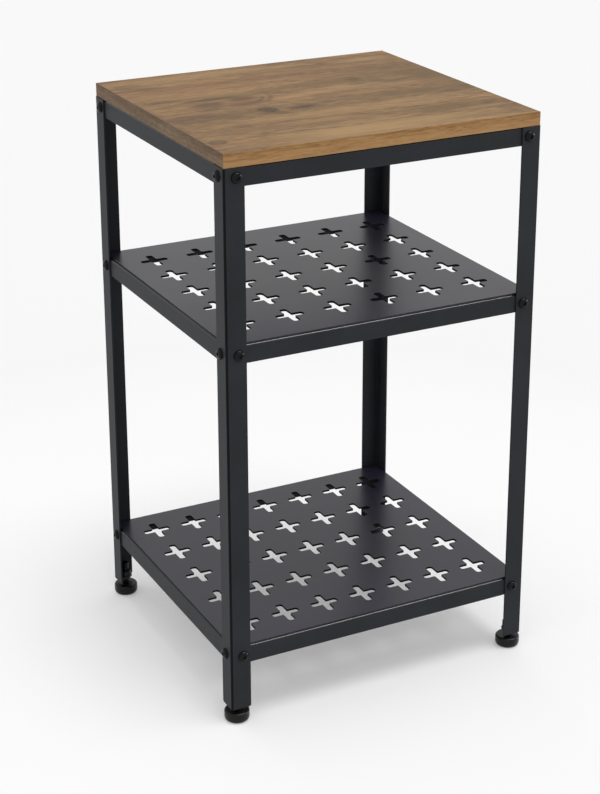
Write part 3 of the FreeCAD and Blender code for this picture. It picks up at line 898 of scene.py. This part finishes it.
def bent_sheet(name, span_low, span_high, upright, flange, bend, wall, mitre=0.0):
    """An angle of sheet: upright face on y = 0, level or second flange along +Y, bend between.

    The sheet runs along X from span_low to span_high, hangs upright below z = 0 and its flange
    lies on z = 0; mitre shortens the flange's free edge at both ends.
    """
    deselect()
    middle = ((span_low + span_high) / 2, 0, -upright / 2)
    bpy.ops.mesh.primitive_plane_add(size=upright, rotation=(math.pi / 2, 0, 0), location=middle)
    piece = begin(name)
    stretch = (span_high - span_low) / upright
    bpy.ops.transform.resize(value=(stretch, 1, 1), center_override=middle)
    pick("edges", lambda co: near(co.z, 0))
    extrude((0, flange, 0))
    if mitre:
        for end, shift in ((span_low, mitre), (span_high, -mitre)):
            pick("verts", lambda co: near(co.x, end) and near(co.y, flange))
            bpy.ops.transform.translate(value=(shift, 0, 0))
    bevel("edges", lambda co: near(co.z, 0) and near(co.y, 0), bend, 6)
    face_outwards()
    mode("OBJECT")
    front = max(piece.data.polygons, key=lambda face: abs(face.normal.y) * face.area)
    if front.normal.y > 0:
        piece.data.flip_normals()
    modify(piece, "SOLIDIFY", thickness=wall, offset=-1, use_even_offset=True)
    return piece


class TABLE_OT_legs(TableOperator, bpy.types.Operator):
    """Bends one angle leg from sheet and stands it at the four corners"""

    bl_idname = "end_table.legs"
    bl_label = "Legs"

    def execute(self, context):
        """Models the leg lying along X, stands it up and copies it round the table."""
        sizes = self.sizes.frame
        coat = bpy.data.materials["satin_black_powder_coat"]
        low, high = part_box("leg_front_left")
        flange = high.x - low.x
        span = high.z - low.z
        master = bent_sheet("leg_master", 0, span, flange, flange, sizes.leg_bend, sizes.wall)
        focus(master)
        mode("EDIT")

        def toe(co):
            """At the foot of a flange's free edge."""
            return near(co.x, 0) and (near(co.z, -flange) or near(co.y, flange))

        bevel("edges", toe, sizes.leg_toe, 5)
        mode("OBJECT")
        round_edges(master, sizes.edge)
        # Stands the leg up: its length along +Z, its flanges along +X and +Y from the corner.
        upright = Matrix(((0, 0, -1, 0), (0, 1, 0, 0), (1, 0, 0, 0), (0, 0, 0, 1)))
        for name, sign_x, sign_y, turn in CORNERS:
            low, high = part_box("leg_" + name)
            corner = Vector((outer(sign_x, low.x, high.x), outer(sign_y, low.y, high.y), low.z))
            leg = placed_copy(master, "leg_%s_bent" % name, stood(corner, turn) @ upright)
            hand_over(leg, "table", coat, "powder_coat", "leg_" + name)

            def upright_bend(centre, normal):
                """On the outside of the leg's bend."""
                near_corner = (centre - corner).xy.length < sizes.leg_bend
                outward = normal.x * sign_x > BEND_TILT and normal.y * sign_y > BEND_TILT
                return near_corner and outward and abs(normal.z) < 0.1

            # The outside of the leg's bend gets a near-black coat: painted shade.
            second_finish(leg, "thin_coat_on_leg_bend", upright_bend)
        discard(master)
        return {"FINISHED"}


class TABLE_OT_rails(TableOperator, bpy.types.Operator):
    """Bends the twelve mitred rails from sheet"""

    bl_idname = "end_table.rails"
    bl_label = "Rails"

    def execute(self, context):
        """Models a long and a short rail and copies each round the three levels."""
        sizes = self.sizes.frame
        coat = bpy.data.materials["satin_black_powder_coat"]
        masters = {}
        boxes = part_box("middle_rail_front"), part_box("middle_rail_left")
        for axis, kind in enumerate(("long", "short")):
            low, high = boxes[axis]
            extent = high - low
            half, flange = extent[axis] / 2, extent[1 - axis]
            # The flange's free edge ends on the diagonal between the two rails' outer faces.
            outer_face = -boxes[1 - axis][0][axis]
            mitre = half - (outer_face - flange - sizes.mitre_gap)
            bend, wall = sizes.rail_bend, sizes.wall
            rail = bent_sheet(
                kind + "_rail_master", -half, half, extent.z, flange, bend, wall, mitre
            )
            round_edges(rail, sizes.edge)
            masters[kind] = rail
        for level in LEVELS:
            for side, sign_x, sign_y, turn in SIDES:
                name = "%s_rail_%s" % (level, side)
                low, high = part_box(name)
                place = (outer(sign_x, low.x, high.x), outer(sign_y, low.y, high.y), high.z)
                master = masters["short" if sign_x else "long"]
                rail = placed_copy(master, name + "_bent", stood(place, turn))
                hand_over(rail, "table", coat, "powder_coat", name)

                def level_bend(centre, normal):
                    """On the outside of the rail's bend."""
                    outward = normal.x * sign_x + normal.y * sign_y
                    at_bend = centre.z > high.z - sizes.rail_bend
                    return at_bend and normal.z > BEND_TILT and outward > BEND_TILT

                # The outside of the rail's bend gets a darker coat: painted shade along the bend.
                second_finish(rail, "burnished_coat_on_rail_bend", level_bend)
        for master in masters.values():
            discard(master)
        return {"FINISHED"}


class TABLE_OT_shelves(TableOperator, bpy.types.Operator):
    """Punches and presses the two perforated shelf panels"""

    bl_idname = "end_table.shelves"
    bl_label = "Shelf panels"

    def plus(self, name, shelf):
        """One plus cut-out with its pressed lip, at the origin."""
        arm = shelf.plus_arm / 2
        reach_x = shelf.plus_width / 2
        reach_y = shelf.plus_depth / 2
        deselect()
        bpy.ops.mesh.primitive_plane_add(size=2 * arm)
        piece = begin(name)
        for axis, reach in enumerate((reach_x, reach_y)):
            for sign in (1, -1):

                def side(co):
                    """At an end of the square's side that this arm grows from."""
                    return near(co[axis], sign * arm) and near(abs(co[1 - axis]), arm)

                pick("edges", side)
                vector = [0, 0, 0]
                vector[axis] = sign * (reach - arm)
                extrude(vector)
        bpy.ops.mesh.select_all(action="SELECT")
        bpy.ops.mesh.select_mode(type="FACE")
        bpy.ops.mesh.dissolve_faces()

        def tip(co):
            """At the end of an arm."""
            return near(abs(co.x), reach_x) or near(abs(co.y), reach_y)

        def crotch(co):
            """Between two arms."""
            return near(abs(co.x), arm) and near(abs(co.y), arm)

        bevel("verts", tip, shelf.tip_radius, 6)
        bevel("verts", crotch, shelf.crotch_radius, 3)
        face_outwards()
        if bmesh.from_edit_mesh(piece.data).faces[:][0].normal.z < 0:
            bpy.ops.mesh.flip_normals()
        bpy.ops.mesh.select_mode(type="FACE")
        bpy.ops.mesh.select_all(action="SELECT")
        bpy.ops.mesh.inset(thickness=0, depth=-shelf.lip_height)
        bpy.ops.mesh.delete(type="FACE")
        mode("OBJECT")
        return piece

    def execute(self, context):
        """Repeats the cut-out over each panel, fills the sheet between and gives it its wall."""
        shelf = self.sizes.shelf
        coat = bpy.data.materials["satin_black_panel_coat"]
        for level, columns, rows, across, along in GRIDS:
            node = level + "_shelf_panel"
            low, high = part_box(node)
            panel = self.plus(node + "_pressed", shelf)
            for axis, count, pitch in ((0, columns, across), (1, rows, along)):
                offset = [0, 0, 0]
                offset[axis] = pitch * MM
                modify(
                    panel,
                    "ARRAY",
                    count=count,
                    use_relative_offset=False,
                    use_constant_offset=True,
                    constant_offset_displace=offset,
                )
            first = Vector(((columns - 1) * across, (rows - 1) * along, 0)) * (-MM / 2)
            panel.data.transform(Matrix.Translation(first))
            focus(panel)
            mode("EDIT")
            bpy.ops.mesh.select_all(action="DESELECT")
            bpy.ops.mesh.primitive_plane_add(size=1, location=(0, 0, 0))
            bpy.ops.transform.resize(
                value=(high.x - low.x, high.y - low.y, 1), center_override=(0, 0, 0)
            )

            def corner(co):
                """At a corner of the panel."""
                return near(abs(co.x), high.x) and near(abs(co.y), high.y)

            bevel("verts", corner, shelf.corner, 6)
            pick("faces", lambda co: co.length < 1e-6)
            bpy.ops.mesh.delete(type="ONLY_FACE")
            bpy.ops.mesh.select_mode(type="EDGE")
            bpy.ops.mesh.select_all(action="DESELECT")
            mesh = bmesh.from_edit_mesh(panel.data)
            for edge in mesh.edges:
                level_edge = all(near(vertex.co.z, 0) for vertex in edge.verts)
                if level_edge and len(edge.link_faces) < 2:
                    edge.select_set(True)
            bmesh.update_edit_mesh(panel.data)
            bpy.ops.mesh.fill(use_beauty=True)
            face_outwards()
            mode("OBJECT")
            widest = max(panel.data.polygons, key=lambda face: face.area)
            if widest.normal.z < 0:
                panel.data.flip_normals()
            modify(panel, "SOLIDIFY", thickness=shelf.sheet, offset=-1, use_even_offset=True)
            round_edges(panel, shelf.edge)
            panel.data.transform(Matrix.Translation((0, 0, high.z)))
            hand_over(panel, "table", coat, "powder_coat", node)
            inner_x, inner_y = high.x - shelf.border, high.y - shelf.border

            def punched(centre, normal):
                """On the upright wall of a cut-out, the panel's own outer edge left out."""
                inside = abs(centre.x) < inner_x and abs(centre.y) < inner_y
                return inside and abs(normal.z) < 0.5

            # The cut-outs' walls get near-black painted shade.
            second_finish(panel, "thin_coat_on_punched_wall", punched)
        return {"FINISHED"}


class TABLE_OT_bolts(TableOperator, bpy.types.Operator):
    """Turns the button-head bolts and dresses the nuts and screws"""

    bl_idname = "end_table.bolts"
    bl_label = "Bolts, nuts and screws"

    def execute(self, context):
        """Models one bolt with its head below z = 0 and copies it to every hole."""
        bolt = self.sizes.bolt
        steel = bpy.data.materials["blackened_bolt_steel"]
        zinc = bpy.data.materials["zinc_plated_steel"]
        head, crown, shank = bolt.head / 2, bolt.crown / 2, bolt.shank / 2
        hexagon = bolt.hex_key / 2 / math.cos(math.pi / 6)
        top = -bolt.height
        floor = top + bolt.hex_depth
        dome = top + bolt.rim
        rings = [(shank - bolt.chamfer, bolt.reach), (shank, bolt.reach - bolt.chamfer)]
        rings += [(shank, 0), (head, 0), (head, -bolt.rim)]
        rings += [
            (crown + (head - crown) * cosine, dome * sine - bolt.rim) for sine, cosine in quarter(8)
        ]
        # The socket has a chamfered mouth and ends in a drilled cone with a small flat.
        rings += [(hexagon * 1.06, top), (hexagon, top + bolt.mouth), (hexagon, floor)]
        rings += [(hexagon * 0.3, floor + bolt.cone)]
        master = turned("bolt_master", rings, 24)
        # The socket's wall is drawn in from a circle to the hexagon that touches it.
        slack = 0.1 * MM
        for vertex in master.data.vertices:
            x, y, z = vertex.co
            if math.hypot(x, y) < hexagon + slack and top + slack < z < floor + slack:
                turn = math.atan2(y, x) % (math.pi / 3) - math.pi / 6
                ratio = math.cos(math.pi / 6) / math.cos(turn)
                vertex.co = (x * ratio, y * ratio, z)
        smooth(master)
        for level in LEVELS:
            low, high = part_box(level + "_leg_bolts")
            height = (low.z + high.z) / 2
            # The legs' outer faces, on which the heads sit.
            seat_x, seat_y = -low.x - bolt.height, -low.y - bolt.height
            bolts = []
            for _, sign_x, sign_y, _ in CORNERS:
                for place, axis in (
                    ((sign_x * (seat_x - bolt.inset), sign_y * seat_y), (0, -sign_y)),
                    ((sign_x * seat_x, sign_y * (seat_y - bolt.inset)), (-sign_x, 0)),
                ):
                    aim = Vector((*axis, 0)).to_track_quat("Z", "Y").to_matrix().to_4x4()
                    matrix = Matrix.Translation((*place, height)) @ aim
                    bolts.append(placed_copy(master, level + "_bolt", matrix))
            joined = join(bolts, level + "_leg_bolts_turned")
            hand_over(joined, "table", steel, "black_fastener", level + "_leg_bolts")
            dress(level + "_leg_nuts", zinc)
        discard(master)
        dress("board_screws", zinc)
        return {"FINISHED"}


class TABLE_OT_feet(TableOperator, bpy.types.Operator):
    """Turns the moulded glides and dresses the studs, tabs and weld nuts"""

    bl_idname = "end_table.feet"
    bl_label = "Levelling feet"

    def execute(self, context):
        """Models one glide with a curved flare and shoulder and copies it to each leg."""
        glide = self.sizes.glide
        plastic = bpy.data.materials["moulded_black_polyamide"]
        steel = bpy.data.materials["blackened_bolt_steel"]
        coat = bpy.data.materials["satin_black_powder_coat"]
        low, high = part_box("foot_glide_front_left")
        rim = (high.x - low.x) / 2
        height = high.z - low.z
        bore, shoulder = glide.bore / 2, glide.shoulder
        rings = [(radius * MM, level * MM) for radius, level in GLIDE_FOOT]
        foot, start = rings[-1]
        rings += [
            (foot + (rim - foot) * sine, start + glide.flare * (1 - cosine))
            for sine, cosine in quarter(5)
        ]
        rings += [
            (rim - shoulder * (1 - cosine), height - shoulder * (1 - sine))
            for sine, cosine in quarter(6, 0)
        ]
        rings += [(bore + glide.bore_mouth / 2, height), (bore, height - glide.bore_mouth)]
        rings += [(bore, glide.floor)]
        master = turned("glide_master", rings, 48)
        smooth(master)
        for name, *_ in CORNERS:
            low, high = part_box("foot_glide_" + name)
            centre = (low + high) / 2
            matrix = Matrix.Translation((centre.x, centre.y, low.z))
            piece = placed_copy(master, "foot_glide_%s_moulded" % name, matrix)
            hand_over(piece, "foot_" + name, plastic, "glide_plastic", "foot_glide_" + name)
            dress("foot_stud_" + name, steel)
            dress("foot_tab_" + name, coat)
        dress("foot_weld_nuts", coat)
        discard(master)
        return {"FINISHED"}


class TABLE_OT_finishes(TableOperator, bpy.types.Operator):
    """Makes the finishes that several pieces share"""

    bl_idname = "end_table.finishes"
    bl_label = "Shared finishes"

    def execute(self, context):
        """Makes each material once."""
        colours = self.sizes.colours
        for make in (powder_coats, bolt_steel, zinc_plate, glide_plastic):
            make(colours)
        return {"FINISHED"}


class TABLE_OT_stage(TableOperator, bpy.types.Operator):
    """Lays the floor, hangs the lamps and sets the camera"""

    bl_idname = "end_table.stage"
    bl_label = "Stage"

    def execute(self, context):
        """Lays the floor, lights the world, hangs the lamps and sets the camera."""
        stage = self.sizes.stage
        deselect()
        # The floor lies a hair below the feet, so that they share no face with it.
        bpy.ops.mesh.primitive_plane_add(size=stage.floor_size, location=(0, 0, -0.1 * MM))
        floor = begin("studio_floor")
        mode("OBJECT")
        floor.data.materials.append(studio_floor(self.sizes.colours, stage.glow))

        world = bpy.data.worlds.new("studio")
        bpy.context.scene.world = world
        world.use_nodes = True
        tree = world.node_tree
        tree.nodes.clear()
        shown = backdrop_rays(tree)
        backdrop = rgba(self.sizes.colours.backdrop)
        seen = add(tree, "ShaderNodeBackground", Color=backdrop, Strength=1.0)
        given = add(tree, "ShaderNodeBackground", Color=rgba((1, 1, 1)), Strength=stage.ambient)
        mixed = add(
            tree, "ShaderNodeMixShader", i0=shown, i1=given.outputs[0], i2=seen.outputs[0]
        )
        add(tree, "ShaderNodeOutputWorld", Surface=mixed.outputs[0])

        # The key lamp gives the soft shadow; the glints only show on edges, domes and bends.
        for name, strength, spread, towards in (
            ("key_lamp", stage.key, stage.key_spread, KEY_AT),
            ("edge_glint", stage.glint, stage.glint_spread, EDGE_GLINT_AT),
            ("side_glint", stage.side, stage.side_spread, SIDE_GLINT_AT),
        ):
            lamp = bpy.data.objects.new(name, bpy.data.lights.new(name, "SUN"))
            lamp.data.energy = strength
            lamp.data.angle = spread
            lamp.rotation_euler = Vector(towards).to_track_quat("Z", "Y").to_euler()
            lamp.visible_diffuse = name == "key_lamp"
            bpy.context.collection.objects.link(lamp)

        data = bpy.data.cameras.new("camera")
        data.lens = stage.lens
        data.sensor_width = 36
        data.shift_y = stage.shift
        camera = bpy.data.objects.new("camera", data)
        bpy.context.collection.objects.link(camera)
        yaw, pitch, roll = (math.radians(degrees) for degrees in CAMERA_TURNS)
        aim = Vector(
            (math.sin(yaw) * math.cos(pitch), math.cos(yaw) * math.cos(pitch), math.sin(pitch))
        )
        turn = aim.to_track_quat("-Z", "Y").to_matrix().to_4x4() @ Matrix.Rotation(-roll, 4, "Z")
        camera.matrix_world = Matrix.Translation(CAMERA_PLACE) @ turn
        bpy.context.scene.camera = camera
        bpy.context.scene.view_settings.view_transform = "Standard"
        return {"FINISHED"}


class TABLE_PT_panel(bpy.types.Panel):
    """Lists the table's operators and settings"""

    bl_idname = "TABLE_PT_panel"
    bl_label = "End table"
    bl_space_type = "VIEW_3D"
    bl_region_type = "UI"
    bl_category = "End table"

    def draw(self, context):
        """One button for each operator, then the settings."""
        for operator in OPERATORS:
            self.layout.operator(operator.bl_idname)
        settings = context.scene.end_table
        for group in ("frame", "shelf", "bolt", "glide", "colours", "stage"):
            box = self.layout.box()
            box.label(text=group.capitalize())
            values = getattr(settings, group)
            for name in values.bl_rna.properties.keys():
                if name not in ("rna_type", "name"):
                    box.prop(values, name)


OPERATORS = (
    TABLE_OT_finishes,
    TABLE_OT_board,
    TABLE_OT_legs,
    TABLE_OT_rails,
    TABLE_OT_shelves,
    TABLE_OT_bolts,
    TABLE_OT_feet,
    TABLE_OT_stage,
)
CLASSES = (
    FrameSizes,
    ShelfSizes,
    FastenerSizes,
    GlideSizes,
    FinishColours,
    StageSizes,
    TableSettings,
    *OPERATORS,
    TABLE_PT_panel,
)


def register():
    """Registers the classes and the scene's settings."""
    for cls in CLASSES:
        bpy.utils.register_class(cls)
    bpy.types.Scene.end_table = PointerProperty(type=TableSettings)


def unregister():
    """Takes the settings and classes away again."""
    del bpy.types.Scene.end_table
    for cls in reversed(CLASSES):
        bpy.utils.unregister_class(cls)


def main():
    """Builds the whole scene."""
    register()
    bpy.ops.end_table.finishes()
    bpy.ops.end_table.board()
    bpy.ops.end_table.legs()
    bpy.ops.end_table.rails()
    bpy.ops.end_table.shelves()
    bpy.ops.end_table.bolts()
    bpy.ops.end_table.feet()
    bpy.ops.end_table.stage()


if __name__ == "__main__":
    main()
